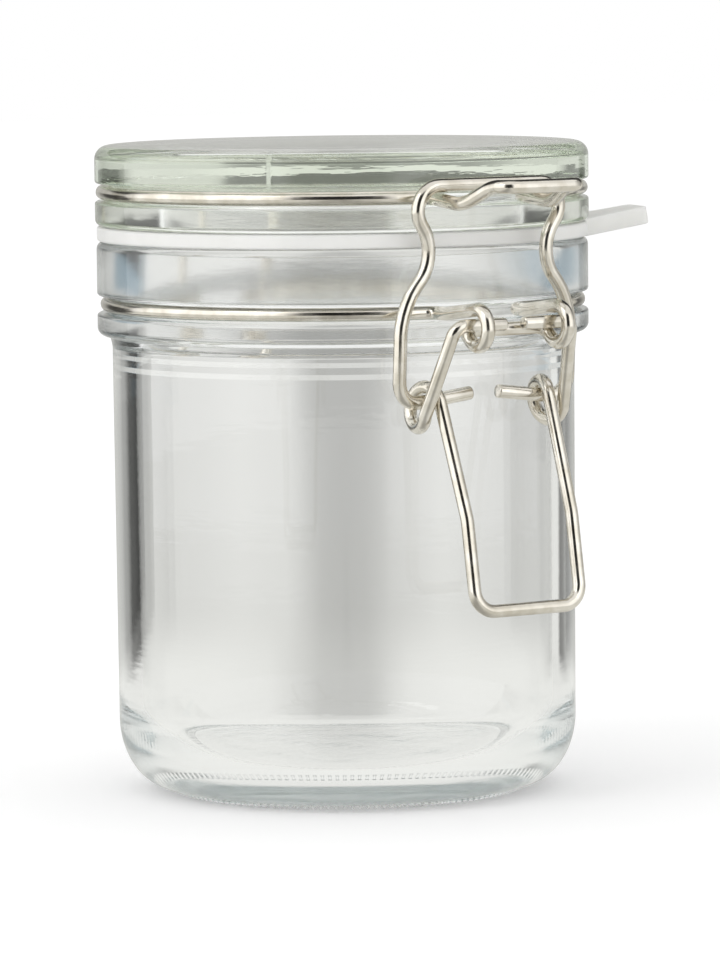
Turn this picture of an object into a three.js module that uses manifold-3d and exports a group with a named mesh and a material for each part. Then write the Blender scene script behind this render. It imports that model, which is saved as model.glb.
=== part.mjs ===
// A half-litre clamp lid jar: a glass jar and lid, a silicone gasket and four bent wires that hinge the
// lid and clamp it shut. Millimetres, +Z up, the jar's axis on Z and its foot ring on z = 0.
// The clamp faces -Y and the hinge is at +Y.
import * as THREE from 'three';
import { mergeVertices } from 'three/addons/utils/BufferGeometryUtils.js';
import Module from 'manifold-3d';

const wasm = await Module();
wasm.setup();

// Driving dimensions of the glass jar
const rimHeight = 106;
const footOuterRadius = 34.8;
const footInnerRadius = 30;
const baseRecess = 0.8;
const heelHeight = 14;
const heelRadius = 44.2;
const shoulderRadius = 44.5;
const wallThickness = 4.4;
const floorThickness = 6;
const mouthRadius = 39.6;
const collarRadius = 47.3;
const collarHeight = 18;
const collarEdge = 1.6;
const rimEdge = 1.4;
const neckGrooveDrop = 12;
const neckWireInset = 1.9;
const grooveLip = 0.5;
const grooveEase = 0.2;
const shoulderFlare = 0.5;
const shoulderRise = 2;
const throatSlope = 3;

// Driving dimensions of the lid and the gasket
const lidRadius = 47.5;
const lidHeight = 15.3;
const lidPlate = 6.5;
const lidTopEdge = 2.6;
const lidLowerEdge = 1.2;
const lidGrooveDrop = 8.9;
const lidWireInset = 1.45;
const spigotDepth = 1.8;
const spigotWall = 5.5;
const spigotEdge = 0.8;
const recessEdge = 1.2;
const recessCorner = 4;
const gasketThickness = 2.8;
const gasketInset = 0.7;
const gasketWidth = 6.4;
const gasketEdge = 0.5;
const tabReach = 13.5;
const tabWidth = 15;
const tabThickness = 2.8;
const tabLift = 9;
const tabRoot = 0.8;
const tabRaise = 0.1;
const tabStart = 0.4;
const tabBearing = 72;

// Driving dimensions of the wires
const hoopWire = 2.6;
const linkWire = 2.6;
const leverWire = 2.5;
const hoopBend = 2.6;
const runBend = 6;
const pinBend = 2.4;

// Neck wire: front eyelets that carry the lever, back eyes that carry the lid
const eyeletSpread = 9;
const eyeletHeight = 6.8;
const eyeletRise = 1.2;
const eyeletReach = 11.7;
const runStraight = 1.5;
const eyeletTurn = -130;
const crossRunInset = 4.3;
const crossRunDrop = 0.7;
const crossRunBend = 1.9;
const hingeSpread = 9.6;
const hingeReach = 4.6;
const hingeEye = 5.8;
const hingeEyeEnd = 345;

// Lid wire: lifting tongue at the front, hinge pins at the back
const tongueSpread = 10;
const tongueTip = 8.4;
const tongueDip = 1.2;
const tongueReach = 20.2;
const tongueRise = 2.4;
const tongueFlat = 8.6;
const barDip = 0.55;
const tongueLip = 4.3;
const tongueBend = 2.4;
const tongueSweep = 8;
const hingePinEnd = 6;

// Lever: pins, arms, elbow eyes and finger loop
const leverPinEnd = 2;
const leverPinInset = 1.3;
const leverPinRise = 0.4;
const elbowDrop = 15.4;
const elbowReach = 3.1;
const elbowEye = 7.5;
const elbowSag = 0.8;
const elbowSplay = 2.6;
const handleSpread = 11.75;
const handleKinkDrop = 20.3;
const handleKinkReach = 11.4;
const handleDrop = 37.2;
const handleReach = 14.2;
const handleCorner = 4;
const kinkBend = 8;

// Link: stubs in the elbow eyes, waisted legs, top bar over the tongue
const linkLean = 1.3;
const linkStubEnd = 3;
const linkStubRise = 1.4;
const linkFootDrop = 0.5;
const linkWideDrop = 22.6;
const linkWaist = 11.2;
const linkWaistDrop = 12.8;
const linkShoulder = 15.8;
const linkShoulderDrop = 6;
const linkCorner = 4.6;
const linkFootBend = 4;
const linkBend = 14;
const linkWaistBend = 8;
const linkShoulderBend = 4;

// Clearances between the pieces
const seatGap = 0.15;
const wireGap = 0.3;
const turnGap = 0.8;
const armGap = 1.4;
const legGap = 0.9;

// Fineness of the facets
const ringFacets = 56;
const wireFacets = 8;
const bendStep = 20;
const hoopStep = 7.5;
const runsApart = 4;

// Heights and radii that follow from the driving dimensions
const neckGrooveHeight = rimHeight - neckGrooveDrop;
const neckWireRadius = collarRadius - neckWireInset;
const gasketBottom = rimHeight + seatGap;
const gasketTop = gasketBottom + gasketThickness;
const lidBottom = gasketTop + seatGap;
const lidTop = lidBottom + lidHeight;
const lidGrooveHeight = lidTop - lidGrooveDrop;
const lidWireRadius = lidRadius - lidWireInset;
const gasketOuterRadius = collarRadius - gasketInset;
const gasketInnerRadius = gasketOuterRadius - gasketWidth;
const spigotRadius = gasketInnerRadius - wireGap;
const grooveRadius = hoopWire / 2 + wireGap;

// Places of the eyes and the pivots, as distance out from the axis and height
const eyelet = { out: collarRadius + eyeletReach, up: neckGrooveHeight + eyeletRise - eyeletHeight / 2 };
const pivot = { out: eyelet.out - leverPinInset, up: eyelet.up + leverPinRise };
const elbowOut = Math.max(shoulderRadius + elbowReach, collarRadius + wireGap);
const elbow = { out: elbowOut, up: pivot.up - elbowDrop };
const bearing = { out: elbow.out, up: elbow.up + elbowSag };
const hinge = { out: -(collarRadius + hingeReach), up: neckGrooveHeight - hingeEye / 2 };

// Sideways places of wires that pass each other: eyelet, lever arm, elbow eye and link leg
const leverArm = eyeletSpread + hoopWire / 2 + armGap + leverWire / 2;
const elbowArm = leverArm + elbowSplay;
const elbowHandle = elbowArm - leverWire - turnGap;
const linkFoot = elbowArm + leverWire / 2 + legGap + linkWire / 2;
const hingeArm = hingeSpread + hoopWire + 2 * wireGap;

const degrees = THREE.MathUtils.degToRad;

function material(color, roughness, metalness, opacity = 1) {
  return new THREE.MeshStandardMaterial({ color, roughness, metalness, opacity, transparent: opacity < 1 });
}

function named(name, geometry, finish) {
  const mesh = new THREE.Mesh(geometry, finish);
  mesh.name = name;
  return mesh;
}

// Points of an arc in a profile, angles in degrees from outwards towards up
function arc(radius, height, size, from, to, steps, tall = size) {
  return Array.from({ length: steps + 1 }, (_, i) => {
    const angle = degrees(from + ((to - from) * i) / steps);
    return new THREE.Vector2(radius + size * Math.cos(angle), height + tall * Math.sin(angle));
  });
}

const point = (radius, height) => new THREE.Vector2(radius, height);

function revolve(profile) {
  return new THREE.LatheGeometry(profile, ringFacets).rotateX(Math.PI / 2);
}

// The outline of a wire groove, from below it to above it, with eased lips on the surface at outer
function groove(centreRadius, height, outer) {
  const lipHeight = grooveRadius + grooveEase + grooveLip;
  return [
    ...arc(outer - grooveLip, height - lipHeight, grooveLip, 0, 80, 2),
    ...arc(centreRadius, height, grooveRadius, 270, 90, 4),
    ...arc(outer - grooveLip, height + lipHeight, grooveLip, -80, 0, 2),
  ];
}

function jarProfile() {
  const collarBottom = rimHeight - collarHeight;
  const innerWall = shoulderRadius - wallThickness;
  const innerHeel = heelRadius - wallThickness;
  const innerFoot = footOuterRadius - wallThickness;
  const innerHeelTop = heelHeight + wallThickness;
  return [
    point(0, baseRecess),
    point(footInnerRadius - 2 * baseRecess, baseRecess),
    point(footInnerRadius, 0),
    ...arc(footOuterRadius, heelHeight, heelRadius - footOuterRadius, -90, 0, 6, heelHeight),
    point(shoulderRadius, collarBottom - shoulderRise),
    point(shoulderRadius + shoulderFlare, collarBottom - shoulderFlare),
    ...arc(collarRadius - collarEdge, collarBottom + collarEdge, collarEdge, -90, 0, 3),
    ...groove(neckWireRadius, neckGrooveHeight, collarRadius),
    ...arc(collarRadius - rimEdge, rimHeight - rimEdge, rimEdge, 0, 90, 3),
    ...arc(mouthRadius + rimEdge, rimHeight - rimEdge, rimEdge, 90, 180, 2),
    point(mouthRadius, collarBottom + throatSlope),
    point(innerWall, collarBottom - throatSlope),
    ...arc(innerFoot, innerHeelTop, innerHeel - innerFoot, 0, -90, 5, innerHeelTop - floorThickness),
    point(0, floorThickness),
  ];
}

function lidProfile() {
  const recess = spigotRadius - spigotWall;
  const spigotBottom = lidBottom - spigotDepth;
  const ceiling = lidTop - lidPlate;
  return [
    point(0, ceiling),
    ...arc(recess - recessCorner, ceiling - recessCorner, recessCorner, 90, 0, 3),
    ...arc(recess + recessEdge, spigotBottom + recessEdge, recessEdge, 180, 270, 2),
    ...arc(spigotRadius - spigotEdge, spigotBottom + spigotEdge, spigotEdge, -90, 0, 2),
    point(spigotRadius, lidBottom),
    ...arc(lidRadius - lidLowerEdge, lidBottom + lidLowerEdge, lidLowerEdge, -90, 0, 2),
    ...groove(lidWireRadius, lidGrooveHeight, lidRadius),
    ...arc(lidRadius - lidTopEdge, lidTop - lidTopEdge, lidTopEdge, 0, 90, 4),
    point(0, lidTop),
  ];
}

// Manifold solids, for the one piece that is joined from two shapes
function asSolid(geometry) {
  const bare = geometry.clone();
  bare.deleteAttribute('normal');
  bare.deleteAttribute('uv');
  const merged = mergeVertices(bare, 1e-4);
  const triVerts = new Uint32Array(merged.index.array);
  const vertProperties = new Float32Array(merged.attributes.position.array);
  return new wasm.Manifold(new wasm.Mesh({ numProp: 3, vertProperties, triVerts }));
}

function asGeometry(solid) {
  const { vertProperties, triVerts } = solid.getMesh();
  const geometry = new THREE.BufferGeometry();
  geometry.setAttribute('position', new THREE.BufferAttribute(vertProperties, 3));
  geometry.setIndex(new THREE.BufferAttribute(triVerts, 1));
  return geometry;
}

function gasketGeometry() {
  const edge = gasketEdge;
  const ring = revolve([
    ...arc(gasketInnerRadius + edge, gasketBottom + edge, edge, 180, 270, 2),
    ...arc(gasketOuterRadius - edge, gasketBottom + edge, edge, -90, 0, 2),
    ...arc(gasketOuterRadius - edge, gasketTop - edge, edge, 0, 90, 2),
    ...arc(gasketInnerRadius + edge, gasketTop - edge, edge, 90, 180, 2),
    point(gasketInnerRadius, gasketBottom + edge),
  ]);
  const half = tabWidth / 2;
  const outline = new THREE.Shape();
  outline.moveTo(-tabRoot, -half);
  outline.lineTo(tabReach - half, -half);
  outline.absarc(tabReach - half, 0, half, -Math.PI / 2, Math.PI / 2);
  outline.lineTo(-tabRoot, half);
  const tab = new THREE.ExtrudeGeometry(outline, { depth: tabThickness, bevelEnabled: false, curveSegments: 6 });
  tab.translate(0, 0, -tabThickness / 2);
  tab.rotateY(-degrees(tabLift));
  tab.translate(gasketOuterRadius + tabStart, 0, gasketBottom + gasketThickness / 2 + tabRaise);
  tab.rotateZ(degrees(tabBearing - 90));
  return asGeometry(asSolid(ring).add(asSolid(tab)));
}

// A wire's route as stations on its centre line
class WireRoute extends THREE.Curve {
  constructor(stations) {
    super();
    this.stations = stations;
    const legs = stations.slice(1).map((p, i) => p.clone().sub(stations[i]).normalize());
    this.tangents = stations.map((_, i) => {
      const before = legs[Math.max(i - 1, 0)];
      const after = legs[Math.min(i, legs.length - 1)];
      return before.clone().add(after).normalize();
    });
  }

  getPoint(t, target = new THREE.Vector3()) {
    const place = t * (this.stations.length - 1);
    const i = Math.min(Math.floor(place), this.stations.length - 2);
    return target.lerpVectors(this.stations[i], this.stations[i + 1], place - i);
  }

  getTangent(t, target = new THREE.Vector3()) {
    return target.copy(this.tangents[Math.round(t * (this.stations.length - 1))]);
  }

  getUtoTmapping(u) {
    return u;
  }
}

// A corner of a wire: a place given as distance out, sideways and up, and the radius it is bent to
function corner(out, side, up, bend = 0) {
  return { place: new THREE.Vector3(side, -out, up), bend };
}

// Rounds each corner of a wire with an arc
function stationsOf(corners) {
  return corners.flatMap(({ place, bend }, i) => {
    if (!bend || i === 0 || i === corners.length - 1) return [place];
    const back = corners[i - 1].place.clone().sub(place);
    const ahead = corners[i + 1].place.clone().sub(place);
    const turn = Math.PI - back.angleTo(ahead);
    back.normalize();
    ahead.normalize();
    const tangent = bend * Math.tan(turn / 2);
    const middle = back.clone().add(ahead).normalize();
    const centre = place.clone().addScaledVector(middle, bend / Math.cos(turn / 2));
    const start = place.clone().addScaledVector(back, tangent).sub(centre);
    const axis = new THREE.Vector3().crossVectors(ahead, back).normalize();
    const steps = Math.max(2, Math.ceil(THREE.MathUtils.radToDeg(turn) / bendStep));
    return Array.from({ length: steps + 1 }, (_, k) =>
      start.clone().applyAxisAngle(axis, (turn * k) / steps).add(centre));
  });
}

function wireGeometry(corners, diameter) {
  const section = new THREE.Shape(Array.from({ length: wireFacets }, (_, i) => {
    const angle = (2 * Math.PI * (i + 0.5)) / wireFacets;
    return new THREE.Vector2(Math.cos(angle), Math.sin(angle)).multiplyScalar(diameter / 2);
  }));
  const stations = stationsOf(corners);
  return new THREE.ExtrudeGeometry(section, {
    extrudePath: new WireRoute(stations),
    steps: stations.length - 1,
  });
}

// The other half of a wire that is the same on both sides of the closure
function mirrored(corners) {
  return corners.map(({ place, bend }) => ({ place: place.clone().setX(-place.x), bend })).reverse();
}

const bearingAt = (side, radius) => THREE.MathUtils.radToDeg(Math.asin(side / radius));

// Corners along a hoop between two sideways places, from the front round the right side to the back
function hoop(radius, height, frontSide, backSide) {
  const from = bearingAt(frontSide, radius);
  const to = 180 - bearingAt(backSide, radius);
  const steps = Math.round((to - from) / hoopStep);
  return Array.from({ length: steps + 1 }, (_, i) => {
    const bearing = degrees(from + ((to - from) * i) / steps);
    const isEnd = i === 0 || i === steps;
    return corner(radius * Math.cos(bearing), radius * Math.sin(bearing), height, isEnd ? hoopBend : 0);
  });
}

// Corners along an eye in a plane square to the jar's side, angles in degrees from outwards towards up
function eye(centre, radius, from, to, side, lastSide = side) {
  const steps = Math.round(Math.abs(to - from) / bendStep);
  return Array.from({ length: steps + 1 }, (_, i) => {
    const angle = degrees(from + ((to - from) * i) / steps);
    const sideways = side + ((lastSide - side) * i) / steps;
    return corner(centre.out + radius * Math.cos(angle), sideways, centre.up + radius * Math.sin(angle));
  });
}

// The angle on a circle where a straight run from or to a place outside it touches the circle
function touchAngle(centre, radius, place, turn) {
  const out = place.out - centre.out;
  const up = place.up - centre.up;
  const spread = Math.acos(radius / Math.hypot(out, up));
  return THREE.MathUtils.radToDeg(Math.atan2(up, out) + turn * spread);
}

function neckWire() {
  const right = [
    corner(eyelet.out - crossRunInset, eyeletSpread, eyelet.up - crossRunDrop, crossRunBend),
    ...eye(eyelet, eyeletHeight / 2, eyeletTurn, 90, eyeletSpread),
    corner(collarRadius + runStraight, eyeletSpread, neckGrooveHeight, runBend),
    ...hoop(neckWireRadius, neckGrooveHeight, eyeletSpread, hingeSpread),
    ...eye(hinge, hingeEye / 2, 90, hingeEyeEnd, hingeSpread),
  ];
  return [...mirrored(right), ...right];
}

function lidWire() {
  const tongueUp = lidGrooveHeight + tongueRise;
  const tongueOut = lidRadius + tongueReach;
  const right = [
    corner(tongueOut, tongueTip, tongueUp, tongueBend),
    corner(tongueOut - tongueLip, tongueTip, tongueUp, tongueSweep),
    corner(lidRadius + tongueFlat, tongueSpread, lidGrooveHeight - tongueDip, tongueSweep),
    ...hoop(lidWireRadius, lidGrooveHeight, tongueSpread, hingeArm),
    corner(hinge.out, hingeArm, lidGrooveHeight, hoopBend),
    corner(hinge.out, hingeArm, hinge.up, pinBend),
    corner(hinge.out, hingePinEnd, hinge.up),
  ];
  return [...mirrored(right), ...right];
}

function leverWirePath() {
  const eyeRadius = elbowEye / 2;
  const kink = { out: elbow.out + handleKinkReach, up: elbow.up - handleKinkDrop };
  const from = touchAngle(elbow, eyeRadius, pivot, -1);
  const to = touchAngle(elbow, eyeRadius, kink, 1) - 360;
  const right = [
    corner(pivot.out, leverPinEnd, pivot.up),
    corner(pivot.out, leverArm, pivot.up, pinBend),
    ...eye(elbow, eyeRadius, from, to, elbowArm, elbowHandle),
    corner(kink.out, handleSpread, kink.up, kinkBend),
    corner(elbow.out + handleReach, handleSpread, elbow.up - handleDrop, handleCorner),
  ];
  return [...right, ...mirrored(right)];
}

function linkWirePath() {
  const topOut = Math.max(lidRadius, collarRadius) + linkLean + linkWire / 2;
  const top = lidGrooveHeight - barDip + hoopWire / 2 + wireGap + linkWire / 2;
  const outAt = (up) => bearing.out + ((topOut - bearing.out) * (up - bearing.up)) / (top - bearing.up);
  const on = (side, up, bend) => corner(outAt(up), side, up, bend);
  const right = [
    on(linkStubEnd, bearing.up + linkStubRise),
    on(linkFoot, bearing.up - linkFootDrop, linkFootBend),
    on(linkFoot, top - linkWideDrop, linkBend),
    on(linkWaist, top - linkWaistDrop, linkWaistBend),
    on(linkShoulder, top - linkShoulderDrop, linkShoulderBend),
    on(linkShoulder, top, linkCorner),
  ];
  return [...right, ...mirrored(right)];
}

// The least space between two runs of one bent wire, on points of its centre line
function leastGap(corners, diameter) {
  const stations = stationsOf(corners);
  const reach = [0];
  stations.slice(1).forEach((p, i) => reach.push(reach[i] + p.distanceTo(stations[i])));
  const gaps = stations.flatMap((p, i) => stations
    .filter((_, k) => reach[k] - reach[i] > runsApart * diameter)
    .map((q) => p.distanceTo(q) - diameter));
  return Math.min(...gaps);
}

const glass = material(0xdfeaf0, 0.03, 0, 0.35);
const lidGlass = material(0xd3e4d6, 0.03, 0, 0.45);
const silicone = material(0xe9e9e4, 0.55, 0);
const hoopMetal = material(0xb9b2a2, 0.28, 1);
const lidWireMetal = material(0xb9b2a2, 0.28, 1);
const linkMetal = material(0xb4ad9d, 0.3, 1);
const leverMetal = material(0xb4ad9d, 0.3, 1);

const jar = new THREE.Group();
jar.add(named('jar_body', revolve(jarProfile()), glass));
jar.add(named('lid', revolve(lidProfile()), lidGlass));
jar.add(named('gasket', gasketGeometry(), silicone));
jar.add(named('neck_wire', wireGeometry(neckWire(), hoopWire), hoopMetal));
jar.add(named('lid_wire', wireGeometry(lidWire(), hoopWire), lidWireMetal));
jar.add(named('link', wireGeometry(linkWirePath(), linkWire), linkMetal));
jar.add(named('lever', wireGeometry(leverWirePath(), leverWire), leverMetal));

console.log(`least gap in the neck wire ${leastGap(neckWire(), hoopWire).toFixed(2)} mm`);
console.log(`least gap in the lever ${leastGap(leverWirePath(), leverWire).toFixed(2)} mm`);

export default jar;
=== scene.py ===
# Clamp lid jar: smooth pressed glass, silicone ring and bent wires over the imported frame
import math
import bmesh
import bpy
from mathutils import Matrix, Vector


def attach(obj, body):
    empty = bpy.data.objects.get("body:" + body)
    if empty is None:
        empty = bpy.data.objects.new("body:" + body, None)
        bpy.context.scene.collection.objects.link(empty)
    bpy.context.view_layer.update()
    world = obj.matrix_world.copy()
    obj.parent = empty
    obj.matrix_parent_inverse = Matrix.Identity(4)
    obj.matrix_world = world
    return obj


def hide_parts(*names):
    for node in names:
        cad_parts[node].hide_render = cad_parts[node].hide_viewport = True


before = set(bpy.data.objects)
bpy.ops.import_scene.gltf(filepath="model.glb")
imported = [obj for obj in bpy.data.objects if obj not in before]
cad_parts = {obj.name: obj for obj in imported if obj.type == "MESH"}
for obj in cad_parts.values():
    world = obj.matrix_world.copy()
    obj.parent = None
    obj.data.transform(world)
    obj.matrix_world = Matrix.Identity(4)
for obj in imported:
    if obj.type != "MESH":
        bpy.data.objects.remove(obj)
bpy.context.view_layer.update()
mm = 0.001
upward = Vector((0, 0, 1))
print("frame loaded:", ", ".join(sorted(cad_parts)))

# camera, placed by its turn round the jar, its tilt and its distance
view = {
    "turn": -33.3,
    "tilt": 5.1,
    "roll": -0.65,
    "away": 1.15,
    "aimUp": 0.0592,
    "aimRight": 0.0029,
    "lens": 223.1,
    "sensor": 36.0,
}


def makeCamera():
    turn = math.radians(view["turn"])
    tilt = math.radians(view["tilt"])
    toCamera = Vector((math.sin(turn) * math.cos(tilt), -math.cos(turn) * math.cos(tilt), math.sin(tilt)))
    right = upward.cross(toCamera).normalized()
    up = toCamera.cross(right)
    roll = Matrix.Rotation(math.radians(view["roll"]), 3, toCamera)
    aim = right * view["aimRight"] + upward * view["aimUp"]
    camera = bpy.data.objects.new("camera", bpy.data.cameras.new("camera"))
    camera.data.lens = view["lens"]
    camera.data.sensor_width = view["sensor"]
    axes = Matrix((roll @ right, roll @ up, toCamera)).transposed()
    camera.matrix_world = Matrix.Translation(aim + toCamera * view["away"]) @ axes.to_4x4()
    bpy.context.scene.collection.objects.link(camera)
    bpy.context.scene.camera = camera
    return toCamera, right


toCamera, toRight = makeCamera()
flatToCamera = Vector((toCamera.x, toCamera.y, 0)).normalized()
print("camera set")

# small helpers for meshes
near = 1e-6  # points within this many metres are one
straight = 0.02  # a turn of fewer radians needs no bend
creases = {"plain": 35, "seal": 40, "wire": 50, "glass": 60}  # edges past these degrees stay sharp
roundSteps = {"bend": 9, "groove": 18, "heel": 5}  # degrees in one step of a round


def smoothOver(mesh, crease):
    mesh.shade_smooth()
    mesh.set_sharp_from_angle(angle=math.radians(creases[crease]))


def addObject(name, bm, finish, crease="plain"):
    mesh = bpy.data.meshes.new(name)
    bm.to_mesh(mesh)
    bm.free()
    smoothOver(mesh, crease)
    piece = bpy.data.objects.new(name, mesh)
    bpy.context.scene.collection.objects.link(piece)
    mesh.materials.append(finish)
    return piece


def makeActive(piece):
    bpy.ops.object.select_all(action="DESELECT")
    piece.select_set(True)
    bpy.context.view_layer.objects.active = piece


def place(out, side, up):  # out from the axis towards the clamp, sideways, up
    return Vector((side, -out, up)) * mm


def startPath(point):
    bm = bmesh.new()
    return {"bm": bm, "tip": bm.verts.new(point), "bends": []}


def runTo(path, point, bend=0.0):
    tip = bmesh.ops.extrude_vert_indiv(path["bm"], verts=[path["tip"]])["verts"][0]
    tip.co = point
    path["tip"] = tip
    if bend:
        path["bends"].append((tip, bend * mm))


def turnAbout(path, centre, axis, degrees, step, slide=(0, 0, 0)):
    steps = max(2, round(abs(degrees) / step))
    each = Vector(slide) / steps
    made = bmesh.ops.spin(path["bm"], geom=[path["tip"]], cent=centre, axis=axis, dvec=each,
                          angle=math.radians(degrees), steps=steps, use_merge=False, use_duplicate=False)
    path["tip"] = made["geom_last"][0]


def bevelBy(bm, geom, offset, affect, segments):
    bmesh.ops.bevel(bm, geom=geom, offset=offset, offset_type="OFFSET", affect=affect, segments=segments,
                    profile=0.5, material=-1, clamp_overlap=True)


def roundBends(path, step):
    for vert, bend in path["bends"]:
        legs = [edge.other_vert(vert).co - vert.co for edge in vert.link_edges]
        turn = math.pi - legs[0].angle(legs[1])
        if turn > straight:
            segments = max(3, round(math.degrees(turn) / step))
            bevelBy(path["bm"], [vert], bend * math.tan(turn / 2), "VERTICES", segments)


def latheProfile(path, steps):
    roundBends(path, roundSteps["bend"])
    bm = path["bm"]
    bmesh.ops.spin(bm, geom=bm.verts[:] + bm.edges[:], cent=(0, 0, 0), axis=(0, 0, 1), angle=2 * math.pi,
                   steps=steps, use_merge=True, use_duplicate=False)
    bmesh.ops.remove_doubles(bm, verts=bm.verts[:], dist=near)
    bmesh.ops.recalc_face_normals(bm, faces=bm.faces[:])
    return bm


def profilePoint(radius, height):
    return Vector((radius, 0, height)) * mm


def addGroove(path, s, outer):  # wire groove with eased lips, from below up
    half = s["grooveRadius"] + s["grooveEase"]
    wireCentre = profilePoint(s["grooveCentre"], s["grooveHeight"])
    runTo(path, profilePoint(outer, s["grooveHeight"] - half), s["grooveLip"])
    runTo(path, profilePoint(s["grooveCentre"], s["grooveHeight"] - s["grooveRadius"]))
    turnAbout(path, wireCentre, (0, -1, 0), -180, roundSteps["groove"])
    runTo(path, profilePoint(outer, s["grooveHeight"] + half), s["grooveLip"])


def quarterRound(path, centre, degrees, stretch, fixedHeight):  # stretched upwards from a fixed height
    before = set(path["bm"].verts)
    turnAbout(path, centre, (0, -1, 0), degrees, roundSteps["heel"])
    turned = [v for v in path["bm"].verts if v not in before]
    bmesh.ops.scale(path["bm"], vec=(1, 1, stretch), verts=turned,
                    space=Matrix.Translation(-profilePoint(0, fixedHeight)))


# small helpers for materials

def startMaterial(name):
    finish = bpy.data.materials.new(name)
    finish.use_nodes = True
    tree = finish.node_tree
    return finish, tree, tree.nodes["Principled BSDF"]


def setSurface(tree, surface):
    tree.links.new(surface, tree.nodes["Material Output"].inputs["Surface"])


def addNode(tree, kind, **values):
    node = tree.nodes.new(kind)
    for key, value in values.items():
        if key in node.inputs:
            node.inputs[key].default_value = value
        else:
            setattr(node, key, value)
    return node


def feed(tree, socket, source):  # from another node's output, or a plain number
    if isinstance(source, bpy.types.NodeSocket):
        tree.links.new(source, socket)
    else:
        socket.default_value = source


def addMath(tree, operation, first, second):
    node = addNode(tree, "ShaderNodeMath", operation=operation)
    feed(tree, node.inputs[0], first)
    feed(tree, node.inputs[1], second)
    return node.outputs[0]


def addRange(tree, value, given=(0, 1), wanted=(0, 1), curve="LINEAR"):
    node = addNode(tree, "ShaderNodeMapRange", interpolation_type=curve)
    for key, number in zip(("From Min", "From Max", "To Min", "To Max"), (*given, *wanted)):
        node.inputs[key].default_value = number
    tree.links.new(value, node.inputs["Value"])
    return node.outputs["Result"]


def addRamp(tree, value, stops):  # a stop is a place from 0 to 1 and a colour
    node = addNode(tree, "ShaderNodeValToRGB")
    elements = node.color_ramp.elements
    while len(elements) < len(stops):
        elements.new(1.0)
    for element, (where, color) in zip(elements, stops):
        element.position = where
        element.color = (*color, 1)
    tree.links.new(value, node.inputs["Fac"])
    return node.outputs["Color"]


def addMix(tree, kind, factor, first, second):
    node = addNode(tree, "ShaderNodeMix", data_type=kind)
    for key, source in (("Factor", factor), ("A", first), ("B", second)):
        tree.links.new(source, node.inputs[key])
    return node.outputs["Result"]


def mixShaders(tree, factor, first, second):
    node = addNode(tree, "ShaderNodeMixShader")
    for key, source in (("Fac", factor), (1, first), (2, second)):
        tree.links.new(source, node.inputs[key])
    return node.outputs["Shader"]


def addBump(tree, height, strength, depth, under=None):
    node = addNode(tree, "ShaderNodeBump", Strength=strength, Distance=depth)
    tree.links.new(height, node.inputs["Height"])
    if under:
        tree.links.new(under, node.inputs["Normal"])
    return node.outputs["Normal"]


def objectCoords(tree):
    return addNode(tree, "ShaderNodeTexCoord").outputs["Object"]


def splitAxes(tree, vector):
    node = addNode(tree, "ShaderNodeSeparateXYZ")
    tree.links.new(vector, node.inputs["Vector"])
    return node.outputs


def lengthOf(tree, vector):
    node = addNode(tree, "ShaderNodeVectorMath", operation="LENGTH")
    tree.links.new(vector, node.inputs[0])
    return node.outputs["Value"]


def addNoise(tree, vector, stretch, scale, detail):
    mapping = addNode(tree, "ShaderNodeMapping", Scale=stretch)
    noise = addNode(tree, "ShaderNodeTexNoise", Scale=scale, Detail=detail)
    tree.links.new(vector, mapping.inputs["Vector"])
    tree.links.new(mapping.outputs["Vector"], noise.inputs["Vector"])
    return noise.outputs["Fac"]


def objectNoise(tree, scale, detail, stretch=(1, 1, 1)):
    return addNoise(tree, objectCoords(tree), stretch, scale, detail)


# pressed glass of the jar and the lid
glassGrain = {
    "waveDetail": 2, "markDetail": 3, "mottleDetail": 3,
    "hazeDetail": 4, "hazeSpread": (0.45, 0.8),
}


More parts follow.
